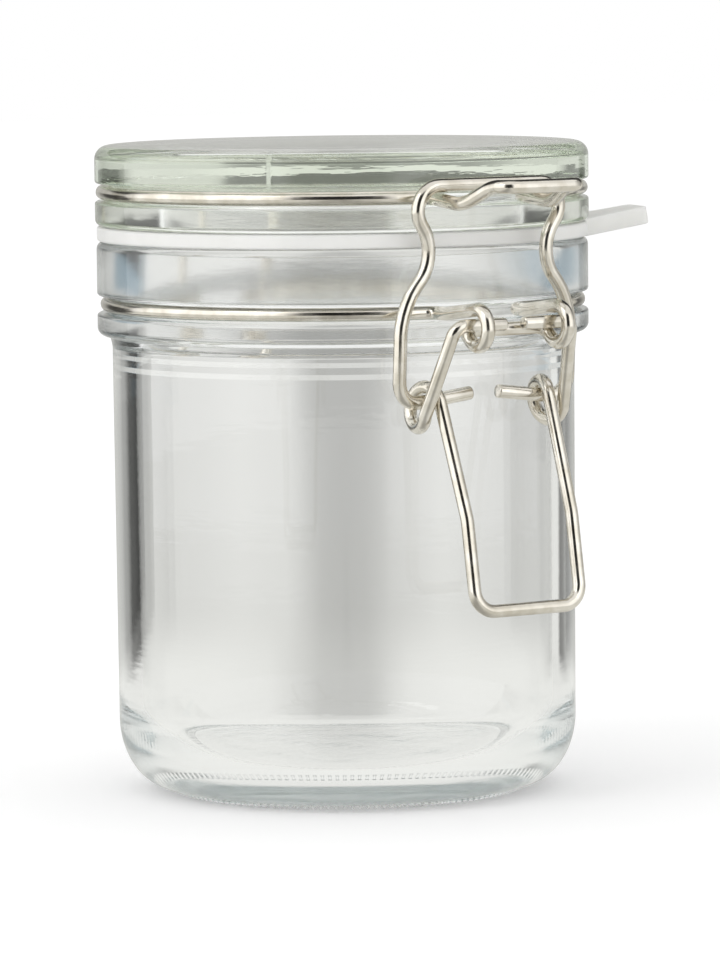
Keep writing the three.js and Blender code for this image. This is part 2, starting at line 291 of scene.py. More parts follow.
def makeGlass(name, look):
    finish, tree, shader = startMaterial(name)
    shader.inputs["Base Color"].default_value = (*look["color"], 1)
    shader.inputs["Transmission Weight"].default_value = 1
    shader.inputs["IOR"].default_value = look["ior"]
    # slow waves of pressed glass, with fine drag marks over them
    waves = objectNoise(tree, look["waveScale"], glassGrain["waveDetail"], look["waveStretch"])
    marks = objectNoise(tree, look["markScale"], glassGrain["markDetail"], look["markStretch"])
    normal = addBump(tree, waves, look["waveStrength"], look["waveDepth"])
    normal = addBump(tree, marks, look["markStrength"], look["markDepth"], normal)
    # the pressed floor of the jar and the lid's underside are mottled, the walls are not
    axes = splitAxes(tree, objectCoords(tree))
    flat = addNode(tree, "ShaderNodeCombineXYZ")
    tree.links.new(axes["X"], flat.inputs["X"])
    tree.links.new(axes["Y"], flat.inputs["Y"])
    radius = lengthOf(tree, flat.outputs["Vector"])
    edge = look["mottleRadius"]
    inner = addRange(tree, radius, (edge, edge - look["mottleFade"]), curve="SMOOTHSTEP")
    below = addMath(tree, "LESS_THAN", axes["Z"], look["mottleBelow"])
    mottle = objectNoise(tree, look["mottleScale"], glassGrain["mottleDetail"])
    mottle = addMath(tree, "MULTIPLY", mottle, addMath(tree, "MULTIPLY", inner, below))
    normal = addBump(tree, mottle, look["mottleStrength"], look["mottleDepth"], normal)
    tree.links.new(normal, shader.inputs["Normal"])
    # handling haze in the roughness, and a duller part: the jar's collar, the lid's lower flange
    haze = objectNoise(tree, look["hazeScale"], glassGrain["hazeDetail"])
    roughness = addRange(tree, haze, glassGrain["hazeSpread"], (look["roughness"], look["hazeRoughness"]))
    dull = addRange(tree, axes["Z"], look["dullFromTo"], look["dullness"])
    roughness = addMath(tree, "ADD", roughness, dull)
    if "footHaze" in look:  # the foot is stippled where the jar stands
        stipple = addRange(tree, axes["Z"], look["footFromTo"], (0, look["footHaze"]), "SMOOTHSTEP")
        roughness = addMath(tree, "ADD", roughness, stipple)
    tree.links.new(roughness, shader.inputs["Roughness"])
    tint = addNode(tree, "ShaderNodeVolumeAbsorption", Color=(*look["tint"], 1), Density=look["density"])
    tree.links.new(tint.outputs["Volume"], tree.nodes["Material Output"].inputs["Volume"])
    return finish


# glass jar
jarGlassLook = {
    "color": (1.0, 1.0, 1.0), "ior": 1.5,
    "tint": (0.5, 0.84, 0.92), "density": 2.0,
    "waveScale": 34.0, "waveStretch": (1, 1, 0.45), "waveStrength": 0.07, "waveDepth": 0.0006,
    "markScale": 90.0, "markStretch": (1, 1, 6), "markStrength": 0.05, "markDepth": 0.0002,
    "hazeScale": 55.0, "roughness": 0.0, "hazeRoughness": 0.02,
    "dullFromTo": (0.086, 0.09), "dullness": (0.0, 0.09),
    "footFromTo": (0.006, 0.001), "footHaze": 0.14,
    "mottleRadius": 0.03, "mottleFade": 0.004, "mottleBelow": 0.03,
    "mottleScale": 70.0, "mottleStrength": 0.3, "mottleDepth": 0.001,
}
jarShape = {
    "rimHeight": 106.0, "rimEdge": 1.4, "mouthRadius": 39.6,
    "collarRadius": 47.3, "collarHeight": 18.0, "collarEdge": 1.6,
    "grooveHeight": 94.0, "grooveCentre": 45.4, "grooveRadius": 1.6, "grooveLip": 0.5, "grooveEase": 0.2,
    "shoulderRadius": 44.5, "shoulderRise": 2.0, "shoulderFlare": 0.5, "shoulderBend": 4.0, "flareBend": 0.6,
    "throatSlope": 3.0, "throatBend": 5.0,
    "heelRadius": 44.2, "heelHeight": 14.0, "innerHeelBend": 8.0,
    "footOuter": 34.8, "footInner": 30.0, "footBend": 0.3, "baseRecess": 0.8, "recessBend": 1.2,
    "wall": 4.4, "floor": 6.0, "floorCrown": 0.7, "crownReach": 0.55, "crownRise": 0.7, "crownBend": 30.0,
    "beadHeight": 0.78, "beadInner": 31.9, "beadOuter": 34.5,
    "beadSteps": ((0.07, 0.36), (0.09, 0.28), (0.1, 0.14)),  # inset and drop of each step
    "ripples": ((86.4, 0.0), (85.6, 0.05), (84.8, -0.03), (83.9, 0.05), (82.6, -0.03), (81.6, 0.04),
                (80.6, 0.0)),  # height and swell of the ring marks
    "rippleBend": 0.8, "steps": 288,
}


def makeJar():
    s = jarShape
    collarBottom = s["rimHeight"] - s["collarHeight"]
    innerWall = s["shoulderRadius"] - s["wall"]
    innerHeel = s["heelRadius"] - s["wall"]
    innerFoot = s["footOuter"] - s["wall"]
    innerHeelTop = s["heelHeight"] + s["wall"]
    path = startPath(profilePoint(0, s["baseRecess"]))
    runTo(path, profilePoint(s["footInner"] - 2 * s["baseRecess"], s["baseRecess"]), s["recessBend"])
    runTo(path, profilePoint(s["footInner"], s["beadHeight"]), s["footBend"])
    for radius in (s["beadInner"], s["beadOuter"], s["footOuter"]):
        runTo(path, profilePoint(radius, s["beadHeight"]))
    heelWide = s["heelRadius"] - s["footOuter"]
    heelTall = s["heelHeight"] - s["beadHeight"]
    heelCentre = profilePoint(s["footOuter"], s["beadHeight"] + heelWide)
    quarterRound(path, heelCentre, 90, heelTall / heelWide, s["beadHeight"])
    runTo(path, profilePoint(s["shoulderRadius"], collarBottom - s["shoulderRise"]), s["shoulderBend"])
    runTo(path, profilePoint(s["shoulderRadius"] + s["shoulderFlare"], collarBottom), s["flareBend"])
    runTo(path, profilePoint(s["collarRadius"], collarBottom), s["collarEdge"])
    addGroove(path, s, s["collarRadius"])
    runTo(path, profilePoint(s["collarRadius"], s["rimHeight"]), s["rimEdge"])
    runTo(path, profilePoint(s["mouthRadius"], s["rimHeight"]), s["rimEdge"])
    runTo(path, profilePoint(s["mouthRadius"], collarBottom + s["throatSlope"]), s["throatBend"])
    # ring marks that the neck plunger leaves below the throat
    for height, swell in s["ripples"]:
        runTo(path, profilePoint(innerWall + swell, height), s["rippleBend"])
    # inner heel, from the wall down to the crowned floor
    runTo(path, profilePoint(innerHeel, innerHeelTop), s["innerHeelBend"])
    innerStretch = (innerHeelTop - s["floor"]) / (innerHeel - innerFoot)
    quarterRound(path, profilePoint(innerFoot, innerHeelTop), -90, innerStretch, innerHeelTop)
    crownHeight = s["floor"] + s["floorCrown"] * s["crownRise"]
    runTo(path, profilePoint(innerFoot * s["crownReach"], crownHeight), s["crownBend"])
    runTo(path, profilePoint(0, s["floor"] + s["floorCrown"]))
    bm = latheProfile(path, s["steps"])
    # beads on the foot ring: every other face is drawn down in steps
    ring = [f for f in bm.faces if all(abs(v.co.z - s["beadHeight"] * mm) < near for v in f.verts)
            and s["beadInner"] < f.calc_center_median().xy.length / mm < s["beadOuter"]]
    ring.sort(key=lambda f: math.atan2(f.calc_center_median().y, f.calc_center_median().x))
    beads = ring[::2]
    for inset, drop in s["beadSteps"]:
        bmesh.ops.inset_individual(bm, faces=beads, thickness=inset * mm, depth=drop * mm,
                                   use_even_offset=True)
    jar = addObject("jarGlass", bm, makeGlass("jarGlass", jarGlassLook), "glass")
    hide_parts("jar_body")
    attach(jar, "jar")
    print("jar made:", len(jar.data.polygons), "faces,", len(beads), "beads")


makeJar()

# glass lid
lidGlassLook = {
    "color": (1.0, 1.0, 1.0), "ior": 1.5,
    "tint": (0.6, 0.78, 0.46), "density": 4.0,
    "waveScale": 30.0, "waveStretch": (1, 1, 2.5), "waveStrength": 0.15, "waveDepth": 0.0006,
    "markScale": 80.0, "markStretch": (1, 1, 7), "markStrength": 0.08, "markDepth": 0.0002,
    "hazeScale": 50.0, "roughness": 0.0, "hazeRoughness": 0.02,
    "dullFromTo": (0.1165, 0.1175), "dullness": (0.08, 0.01),
    "mottleRadius": 0.0335, "mottleFade": 0.003, "mottleBelow": 0.121,
    "mottleScale": 160.0, "mottleStrength": 0.25, "mottleDepth": 0.0006,
}
lidShape = {
    "bottom": 109.1, "top": 124.4, "radius": 47.5, "plate": 6.5, "topEdge": 2.6, "lowerEdge": 1.2,
    "grooveHeight": 115.5, "grooveCentre": 46.05, "grooveRadius": 1.6, "grooveLip": 0.5, "grooveEase": 0.2,
    "spigotRadius": 39.9, "spigotDepth": 1.8, "spigotWall": 5.5, "spigotEdge": 0.8, "spigotRoot": 0.3,
    "recessEdge": 1.2, "recessCorner": 4.0, "steps": 192,
    "seamBearing": -49.1, "seamWide": 0.24, "seamProud": 0.16, "seamInner": 45.5, "seamBottom": 116.8,
}


def makeLid():
    s = lidShape
    recess = s["spigotRadius"] - s["spigotWall"]
    spigotBottom = s["bottom"] - s["spigotDepth"]
    ceiling = s["top"] - s["plate"]
    path = startPath(profilePoint(0, ceiling))
    runTo(path, profilePoint(recess, ceiling), s["recessCorner"])
    runTo(path, profilePoint(recess, spigotBottom), s["recessEdge"])
    runTo(path, profilePoint(s["spigotRadius"], spigotBottom), s["spigotEdge"])
    runTo(path, profilePoint(s["spigotRadius"], s["bottom"]), s["spigotRoot"])
    runTo(path, profilePoint(s["radius"], s["bottom"]), s["lowerEdge"])
    addGroove(path, s, s["radius"])
    runTo(path, profilePoint(s["radius"], s["top"]), s["topEdge"])
    runTo(path, profilePoint(0, s["top"]))
    bm = latheProfile(path, s["steps"])
    # mould seam: a fine raised line on both sides, from the groove up over the edge
    seam = math.radians(s["seamBearing"])
    across = Vector((math.cos(seam), math.sin(seam), 0))
    for offset in (-0.5, 0, 0.5):
        bmesh.ops.bisect_plane(bm, geom=bm.verts[:] + bm.edges[:] + bm.faces[:], dist=near / 10,
                               plane_co=across * offset * s["seamWide"] * mm, plane_no=across)
    ridge = [v for v in bm.verts if abs(v.co.dot(across)) < near and v.co.xy.length > s["seamInner"] * mm
             and v.co.z > s["seamBottom"] * mm]
    grown = 1 + s["seamProud"] / s["radius"]
    bmesh.ops.scale(bm, vec=(grown, grown, 1), verts=ridge)
    lid = addObject("lidGlass", bm, makeGlass("lidGlass", lidGlassLook), "glass")
    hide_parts("lid")
    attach(lid, "lid")
    print("lid made:", len(lid.data.polygons), "faces")


makeLid()

# silicone ring with its pull tab
sealShape = {
    "inner": 40.2, "outer": 47.2, "bottom": 106.15, "thickness": 2.8, "edge": 0.5, "steps": 192,
    "tabStart": -0.2, "tabRoot": 0.8, "tabReach": 13.5, "tabWidth": 15.0, "tabTip": 11.0, "tabCorner": 1.6,
    "tabThickness": 3.4, "tabEdge": 0.35, "tabEdgeSteps": 3, "tabEdgeTurn": 1.0,
    "tabLift": 9.0, "tabRaise": -0.25, "tabBearing": 72.0,
}
siliconeLook = {
    "color": (0.84, 0.84, 0.81), "fleck": (0.77, 0.77, 0.74), "roughness": (0.36, 0.52), "ior": 1.41,
    "subsurface": 0.35, "radius": (0.004, 0.004, 0.0036), "radiusScale": 1.0,
    "cloudScale": 120, "cloudDetail": 4, "cloudSpread": (0.2, 0.62),
    "grainScale": 1400, "grainDetail": 2, "grainStrength": 0.12, "grainDepth": 0.0001,
}


def makeSilicone():
    look = siliconeLook
    finish, tree, shader = startMaterial("milkySilicone")
    shader.inputs["Subsurface Weight"].default_value = look["subsurface"]
    shader.inputs["Subsurface Radius"].default_value = look["radius"]
    shader.inputs["Subsurface Scale"].default_value = look["radiusScale"]
    shader.inputs["IOR"].default_value = look["ior"]
    cloud = objectNoise(tree, look["cloudScale"], look["cloudDetail"])
    shades = tuple(zip(look["cloudSpread"], (look["fleck"], look["color"])))
    tree.links.new(addRamp(tree, cloud, shades), shader.inputs["Base Color"])
    grain = objectNoise(tree, look["grainScale"], look["grainDetail"])
    tree.links.new(addBump(tree, grain, look["grainStrength"], look["grainDepth"]), shader.inputs["Normal"])
    tree.links.new(addRange(tree, grain, wanted=look["roughness"]), shader.inputs["Roughness"])
    return finish


def makeSealTab(finish):  # a rounded tongue, lifted and turned to its bearing
    s = sealShape
    root = s["tabWidth"] / 2
    tip = s["tabTip"] / 2
    path = startPath(Vector((-s["tabRoot"], -root, 0)) * mm)
    first = path["tip"]
    runTo(path, Vector((s["tabReach"], -tip, 0)) * mm, s["tabCorner"])
    runTo(path, Vector((s["tabReach"], tip, 0)) * mm, s["tabCorner"])
    runTo(path, Vector((-s["tabRoot"], root, 0)) * mm)
    last = path["tip"]
    roundBends(path, roundSteps["bend"])
    bm = path["bm"]
    bm.edges.new((last, first))
    bmesh.ops.edgeloop_fill(bm, edges=bm.edges[:])
    raised = bmesh.ops.extrude_face_region(bm, geom=bm.faces[:])
    upper = [v for v in raised["geom"] if isinstance(v, bmesh.types.BMVert)]
    bmesh.ops.translate(bm, verts=upper, vec=upward * s["tabThickness"] * mm)
    bmesh.ops.translate(bm, verts=bm.verts[:], vec=-upward * s["tabThickness"] / 2 * mm)
    bmesh.ops.recalc_face_normals(bm, faces=bm.faces[:])
    rims = [e for e in bm.edges if e.calc_face_angle(0) > s["tabEdgeTurn"]]
    bevelBy(bm, rims, s["tabEdge"] * mm, "EDGES", s["tabEdgeSteps"])
    bmesh.ops.rotate(bm, verts=bm.verts[:], cent=(0, 0, 0),
                     matrix=Matrix.Rotation(-math.radians(s["tabLift"]), 3, "Y"))
    middle = s["bottom"] + s["thickness"] / 2 + s["tabRaise"]
    bmesh.ops.translate(bm, verts=bm.verts[:], vec=profilePoint(s["outer"] + s["tabStart"], middle))
    bmesh.ops.rotate(bm, verts=bm.verts[:], cent=(0, 0, 0),
                     matrix=Matrix.Rotation(math.radians(s["tabBearing"] - 90), 3, "Z"))
    return addObject("sealTab", bm, finish)


def makeSeal():
    s = sealShape
    top = s["bottom"] + s["thickness"]
    under = profilePoint((s["inner"] + s["outer"]) / 2, s["bottom"])
    path = startPath(under)
    runTo(path, profilePoint(s["outer"], s["bottom"]), s["edge"])
    runTo(path, profilePoint(s["outer"], top), s["edge"])
    runTo(path, profilePoint(s["inner"], top), s["edge"])
    runTo(path, profilePoint(s["inner"], s["bottom"]), s["edge"])
    runTo(path, under)
    finish = makeSilicone()
    seal = addObject("sealRing", latheProfile(path, s["steps"]), finish)
    tab = makeSealTab(finish)
    join = seal.modifiers.new("tab", "BOOLEAN")
    join.operation = "UNION"
    join.object = tab
    makeActive(seal)
    bpy.ops.object.modifier_apply(modifier=join.name)
    bpy.data.objects.remove(tab)
    smoothOver(seal.data, "seal")
    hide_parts("gasket")
    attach(seal, "lid")
    print("seal made:", len(seal.data.polygons), "faces")


makeSeal()

# bent wires
wireLook = {
    "bright": (0.83, 0.795, 0.725), "dull": (0.64, 0.6, 0.515),
    "tarnishScale": 260.0, "tarnishDetail": 5, "tarnishSpread": (0.35, 0.7),
    "rubScale": 420.0, "rubDetail": 3, "rubSpread": (0.3, 0.7), "roughness": (0.13, 0.22),
    "dieStretch": (60, 14, 1), "dieScale": 1.0, "dieDetail": 3, "dieStrength": 0.12, "dieDepth": 0.00004,
}
wireShape = {
    "hoopWire": 2.6, "linkWire": 2.6, "leverWire": 2.5, "roundness": 8, "endRound": 0.35, "endSteps": 3,
    "hoopStep": 5.0, "eyeStep": 10.0, "bendStep": 8.0,
}


def makeNickel():
    look = wireLook
    finish, tree, shader = startMaterial("drawnNickelWire")
    shader.inputs["Metallic"].default_value = 1
    tarnish = objectNoise(tree, look["tarnishScale"], look["tarnishDetail"])
    shades = tuple(zip(look["tarnishSpread"], (look["dull"], look["bright"])))
    tree.links.new(addRamp(tree, tarnish, shades), shader.inputs["Base Color"])
    rub = objectNoise(tree, look["rubScale"], look["rubDetail"])
    tree.links.new(addRange(tree, rub, look["rubSpread"], look["roughness"]), shader.inputs["Roughness"])
    # die lines drawn along the wire
    along = addNode(tree, "ShaderNodeUVMap", uv_map="UVMap")
    lines = addNoise(tree, along.outputs["UV"], look["dieStretch"], look["dieScale"], look["dieDetail"])
    tree.links.new(addBump(tree, lines, look["dieStrength"], look["dieDepth"]), shader.inputs["Normal"])
    return finish


nickel = makeNickel()


def finishWire(name, path, diameter):  # half a wire, mirrored and given its thickness
    roundBends(path, wireShape["bendStep"])
    bm = path["bm"]
    bmesh.ops.mirror(bm, geom=bm.verts[:] + bm.edges[:], matrix=Matrix(), merge_dist=near, axis="X")
    mesh = bpy.data.meshes.new(name)
    bm.to_mesh(mesh)
    bm.free()
    wire = bpy.data.objects.new(name, mesh)
    bpy.context.scene.collection.objects.link(wire)
    makeActive(wire)
    bpy.ops.object.convert(target="CURVE")
    curve = wire.data
    curve.dimensions = "3D"
    curve.bevel_depth = diameter / 2 * mm
    curve.bevel_resolution = wireShape["roundness"]
    bpy.ops.object.convert(target="MESH")
    bm = bmesh.new()
    bm.from_mesh(wire.data)
    # cut ends: closed and slightly rounded
    ends = [e for e in bm.edges if e.is_boundary]
    bmesh.ops.holes_fill(bm, edges=ends, sides=0)
    bevelBy(bm, ends, wireShape["endRound"] * mm, "EDGES", wireShape["endSteps"])
    bmesh.ops.recalc_face_normals(bm, faces=bm.faces[:])
    bm.to_mesh(wire.data)
    bm.free()
    smoothOver(wire.data, "wire")
    wire.data.materials.clear()
    wire.data.materials.append(nickel)
    print("wire made:", name, len(wire.data.polygons), "faces")
    return wire


def hoopAngle(side, radius):
    return math.degrees(math.asin(side / radius))


def hoopTo(path, radius, height, frontSide, backSide, bend):
    start = hoopAngle(frontSide, radius)
    end = 180 - hoopAngle(backSide, radius)
    along = math.radians(start)
    runTo(path, place(radius * math.cos(along), radius * math.sin(along), height), bend)
    turnAbout(path, place(0, 0, height), (0, 0, 1), end - start, wireShape["hoopStep"])
    path["bends"].append((path["tip"], bend * mm))


def eyeStart(centre, radius, angle, side):
    turn = math.radians(angle)
    return place(centre[0] + radius * math.cos(turn), side, centre[1] + radius * math.sin(turn))


def eyeTurn(path, centre, degrees, slide=0.0):
    axle = place(centre[0], 0, centre[1])
    turnAbout(path, axle, (-1, 0, 0), degrees, wireShape["eyeStep"], (slide * mm, 0, 0))


# neck wire: cross run, eyelets, hoop in the collar's groove, hinge eyes
neckShape = {
    "eyelet": (59.0, 91.8), "eyeletRadius": 3.4, "eyeletSide": 9.0, "eyeletTurn": -130.0,
    "crossInset": 4.3, "crossDrop": 0.7, "crossBend": 1.9,
    "runOut": 48.8, "runBend": 6.0, "grooveHeight": 94.0, "hoopRadius": 45.4, "hoopBend": 2.6,
    "hinge": (-51.9, 91.1), "hingeRadius": 2.9, "hingeSide": 9.6, "hingeEnd": 345.0,
}


def makeNeckWire():
    s = neckShape
    out, up = s["eyelet"]
    path = startPath(place(out - s["crossInset"], 0, up - s["crossDrop"]))
    runTo(path, place(out - s["crossInset"], s["eyeletSide"], up - s["crossDrop"]), s["crossBend"])
    runTo(path, eyeStart(s["eyelet"], s["eyeletRadius"], s["eyeletTurn"], s["eyeletSide"]))
    eyeTurn(path, s["eyelet"], 90 - s["eyeletTurn"])
    runTo(path, place(s["runOut"], s["eyeletSide"], s["grooveHeight"]), s["runBend"])
    hoopTo(path, s["hoopRadius"], s["grooveHeight"], s["eyeletSide"], s["hingeSide"], s["hoopBend"])
    runTo(path, eyeStart(s["hinge"], s["hingeRadius"], 90, s["hingeSide"]))
    eyeTurn(path, s["hinge"], s["hingeEnd"] - 90)
    wire = finishWire("neckWireBent", path, wireShape["hoopWire"])
    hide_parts("neck_wire")
    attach(wire, "jar")


# lid wire: lifting tongue, hoop in the lid's groove, hinge pins
tongueShape = {
    "tipOut": 67.7, "tipSide": 8.4, "tipUp": 117.9, "tipBend": 2.4, "lip": 4.3, "sweep": 8.0,
    "flatOut": 56.1, "flatSide": 10.0, "flatUp": 114.3,
    "grooveHeight": 115.5, "hoopRadius": 46.05, "hoopBend": 2.6,
    "armSide": 12.8, "hinge": (-51.9, 91.1), "pinBend": 2.4, "pinEnd": 6.0,
}


def makeLidWire():
    s = tongueShape
    path = startPath(place(s["tipOut"], 0, s["tipUp"]))
    runTo(path, place(s["tipOut"], s["tipSide"], s["tipUp"]), s["tipBend"])
    runTo(path, place(s["tipOut"] - s["lip"], s["tipSide"], s["tipUp"]), s["sweep"])
    runTo(path, place(s["flatOut"], s["flatSide"], s["flatUp"]), s["sweep"])
    hoopTo(path, s["hoopRadius"], s["grooveHeight"], s["flatSide"], s["armSide"], s["hoopBend"])
    out, up = s["hinge"]
    runTo(path, place(out, s["armSide"], s["grooveHeight"]), s["hoopBend"])
    runTo(path, place(out, s["armSide"], up), s["pinBend"])
    runTo(path, place(out, s["pinEnd"], up))
    wire = finishWire("lidWireBent", path, wireShape["hoopWire"])
    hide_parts("lid_wire")
    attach(wire, "lid")


# lever: pins, splayed arms, elbow eyes, finger loop
leverShape = {
    "pivot": (57.7, 92.2), "pinEnd": 2.0, "armSide": 12.95, "pinBend": 2.4,
    "elbow": (47.6, 76.8), "elbowRadius": 3.75, "elbowSide": 15.55, "handleStart": 12.25,
    "kink": (59.0, 56.5), "kinkBend": 8.0, "handleSide": 11.75, "tip": (61.8, 39.6), "tipBend": 4.0,
}


def touchAngle(centre, radius, point, turn):  # where a run from a point meets a round eye
    out = point[0] - centre[0]
    up = point[1] - centre[1]
    return math.degrees(math.atan2(up, out) + turn * math.acos(radius / math.hypot(out, up)))


def makeLever():
    s = leverShape
    start = touchAngle(s["elbow"], s["elbowRadius"], s["pivot"], -1)
    end = touchAngle(s["elbow"], s["elbowRadius"], s["kink"], 1) - 360
    path = startPath(place(s["pivot"][0], s["pinEnd"], s["pivot"][1]))
    runTo(path, place(s["pivot"][0], s["armSide"], s["pivot"][1]), s["pinBend"])
    runTo(path, eyeStart(s["elbow"], s["elbowRadius"], start, s["elbowSide"]))
    eyeTurn(path, s["elbow"], end - start, s["handleStart"] - s["elbowSide"])
    runTo(path, place(s["kink"][0], s["handleSide"], s["kink"][1]), s["kinkBend"])
    runTo(path, place(s["tip"][0], s["handleSide"], s["tip"][1]), s["tipBend"])
    runTo(path, place(s["tip"][0], 0, s["tip"][1]))
    wire = finishWire("leverBent", path, wireShape["leverWire"])
    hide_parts("lever")
    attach(wire, "lever")


# link: stubs in the elbow eyes, waisted legs, top bar over the tongue
linkShape = {
    "bearing": (47.6, 77.6), "stubEnd": 3.0, "stubRise": 1.4,
    "footDrop": 0.5, "foot": 19.0, "footBend": 4.0, "wideDrop": 22.6, "wideBend": 14.0,
    "waist": 11.2, "waistDrop": 12.8, "waistBend": 8.0,
    "shoulder": 15.8, "shoulderDrop": 6.0, "shoulderBend": 4.0, "top": (50.1, 117.85), "cornerBend": 4.6,
}


def makeLink():
    s = linkShape
    lowOut, lowUp = s["bearing"]
    topOut, topUp = s["top"]

    def onPlane(side, up):
        return place(lowOut + (topOut - lowOut) * (up - lowUp) / (topUp - lowUp), side, up)

    path = startPath(onPlane(s["stubEnd"], lowUp + s["stubRise"]))
    runTo(path, onPlane(s["foot"], lowUp - s["footDrop"]), s["footBend"])
    runTo(path, onPlane(s["foot"], topUp - s["wideDrop"]), s["wideBend"])
    runTo(path, onPlane(s["waist"], topUp - s["waistDrop"]), s["waistBend"])
    runTo(path, onPlane(s["shoulder"], topUp - s["shoulderDrop"]), s["shoulderBend"])
    runTo(path, onPlane(s["shoulder"], topUp), s["cornerBend"])
    runTo(path, onPlane(0, topUp))
    wire = finishWire("linkBent", path, wireShape["linkWire"])
    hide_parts("link")
    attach(wire, "link")


makeNeckWire()
makeLidWire()
makeLever()
makeLink()

# studio: pale floor, white surroundings, a soft key lamp, and cards that only glass and metal see
studio = {
    "ambient": 0.94, "white": 1.0,
    "floorColor": (0.93, 0.93, 0.93), "floorLift": 0.16, "floorRoughness": 0.9, "floorReach": 4.0,
    "floorDrop": 0.0001, "underJar": (0.035, 0.065),
}
keyLamp = {"toCamera": 0.7, "toLeft": 0.9, "up": 0.9, "aimUp": 0.06, "size": 0.7, "power": 3.0}
# shades go by the offset to the right of the jar's axis in metres; a third value is the stop's own tint
lowShades = (
    (-0.13, 0.06), (-0.112, 0.36), (-0.084, 0.54), (-0.028, 0.72), (-0.015, 0.68),
    (-0.006, 0.46), (0.005, 0.46), (0.011, 0.58), (0.025, 0.72), (0.049, 0.62),
    (0.08, 0.45), (0.1, 0.28), (0.116, 0.07), (0.13, 0.07), (0.1415, 0.85),
)
footShades = (
    (-0.12, 0.8), (-0.06, 0.84), (-0.028, 0.8), (-0.015, 0.78), (-0.006, 0.64),
    (0.005, 0.64), (0.011, 0.74), (0.025, 0.8), (0.06, 0.84), (0.12, 0.8),
)
heelShades = ((-0.03, 0.82), (-0.018, 0.77), (-0.006, 0.54), (0.005, 0.54), (0.014, 0.77), (0.025, 0.82))
heelEnds = ((-0.075, 0.0), (-0.055, 1.0), (0.055, 1.0), (0.075, 0.0))
collarBlue = (0.68, 0.88, 1.0)
collarShades = (
    (-0.118, 0.44, collarBlue), (-0.1, 0.74), (-0.03, 0.82), (-0.008, 0.7), (0.018, 0.7),
    (0.03, 0.8), (0.049, 0.66), (0.095, 0.46, collarBlue), (0.12, 0.38, collarBlue),
)
flangeShades = ((-0.04, 0.66), (-0.02, 0.34), (0.013, 0.34), (0.018, 0.66))
lidShades = (
    (-0.135, 0.6), (-0.125, 0.08), (-0.1, 0.08), (-0.07, 0.84),
    (0.014, 0.84), (0.03, 0.72), (0.06, 0.72), (0.09, 0.12),
)
lidHighShades = ((-0.12, 0.06), (-0.06, 0.22), (0.015, 0.22), (0.018, 0.7), (0.06, 0.66), (0.09, 0.08))
lidTopShades = ((-0.1, 0.55), (0.1, 0.55))
metalFloorShades = ((-0.08, 0.88), (-0.02, 0.45), (0.02, 0.45), (0.07, 0.82))
# painted pool of light on the floor under the jar, which only the glass shows
underShades = ((0.026, 0.84), (0.034, 0.88), (0.06, 0.9))  # by the distance from the axis
# cards behind the jar, one above the other
backCardPlace = {"away": 0.12, "wide": 0.56, "tint": (1.0, 1.0, 0.96)}
backCards = {
    "bodyCard": {"from": 0.0, "to": 0.075, "fade": (0.002, 0.01), "shades": lowShades, "seenBy": "both"},
    "heelCard": {"from": 0.002, "to": 0.03, "away": 0.06, "clearFrom": 0.014, "solid": heelEnds,
                 "shades": heelShades, "seenBy": "glass"},
    "collarCard": {"from": 0.075, "to": 0.093, "shades": collarShades, "seenBy": "glass"},
    "flangeCard": {"from": 0.093, "to": 0.1157, "shades": flangeShades, "seenBy": "glass"},
    "lidCard": {"from": 0.1157, "to": 0.1188, "shades": lidShades, "seenBy": "glass"},
    "lidHighCard": {"from": 0.1188, "to": 0.166, "shades": lidHighShades, "seenBy": "glass"},
    "wireCard": {"from": 0.075, "to": 0.12, "shades": lowShades, "seenBy": "metal"},
    "lidTopCard": {"from": 0.12, "to": 0.166, "shades": lidTopShades, "seenBy": "metal"},
}
darkHood = {"away": 0.14, "wide": 0.6, "from": 0.166, "to": 0.9, "shade": 0.05}
# white walls round the camera with a dark gap at it; angle to its right, share of the brightness
frontDrum = {
    "radius": 0.6, "tall": 0.6, "from": -134.0, "to": 134.0, "step": 6.0,
    "shades": ((-134, 0.15), (-122, 0.4), (-100, 1.0), (-28, 1.0), (-20, 0.0), (18, 0.0), (26, 1.0),
               (55, 1.0), (95, 0.4), (134, 0.1)),
    "inMetal": (0.02, 1.5), "inGlass": (0.85, 1.3),
}


def lightPath(tree):
    return addNode(tree, "ShaderNodeLightPath").outputs


def addGlow(tree, color):
    node = addNode(tree, "ShaderNodeEmission")
    tree.links.new(color, node.inputs["Color"])
    return node.outputs["Emission"]


def startGlow(name):
    finish, tree, shader = startMaterial(name)
    tree.nodes.remove(shader)
    return finish, tree


def shadesAcross(tree, offset, shades, tint=backCardPlace["tint"]):
    wide = backCardPlace["wide"]
    stops = []
    for where, shade, *ownTint in shades:
        color = ownTint[0] if ownTint else tint
        stops.append((0.5 + where / wide, [shade * part for part in color]))
    return addRamp(tree, addRange(tree, offset, (-wide / 2, wide / 2)), stops)


def makeWorld():
    world = bpy.data.worlds.new("studioWorld")
    bpy.context.scene.world = world
    world.use_nodes = True
    tree = world.node_tree
    background = tree.nodes["Background"]
    background.inputs["Color"].default_value = (1, 1, 1, 1)
    # camera, mirror and see-through rays meet plain white
    rays = lightPath(tree)
    direct = addMath(tree, "MAXIMUM", rays["Is Camera Ray"], rays["Is Glossy Ray"])
    direct = addMath(tree, "MAXIMUM", direct, rays["Is Transmission Ray"])
    strength = addRange(tree, direct, wanted=(studio["ambient"], studio["white"]))
    tree.links.new(strength, background.inputs["Strength"])


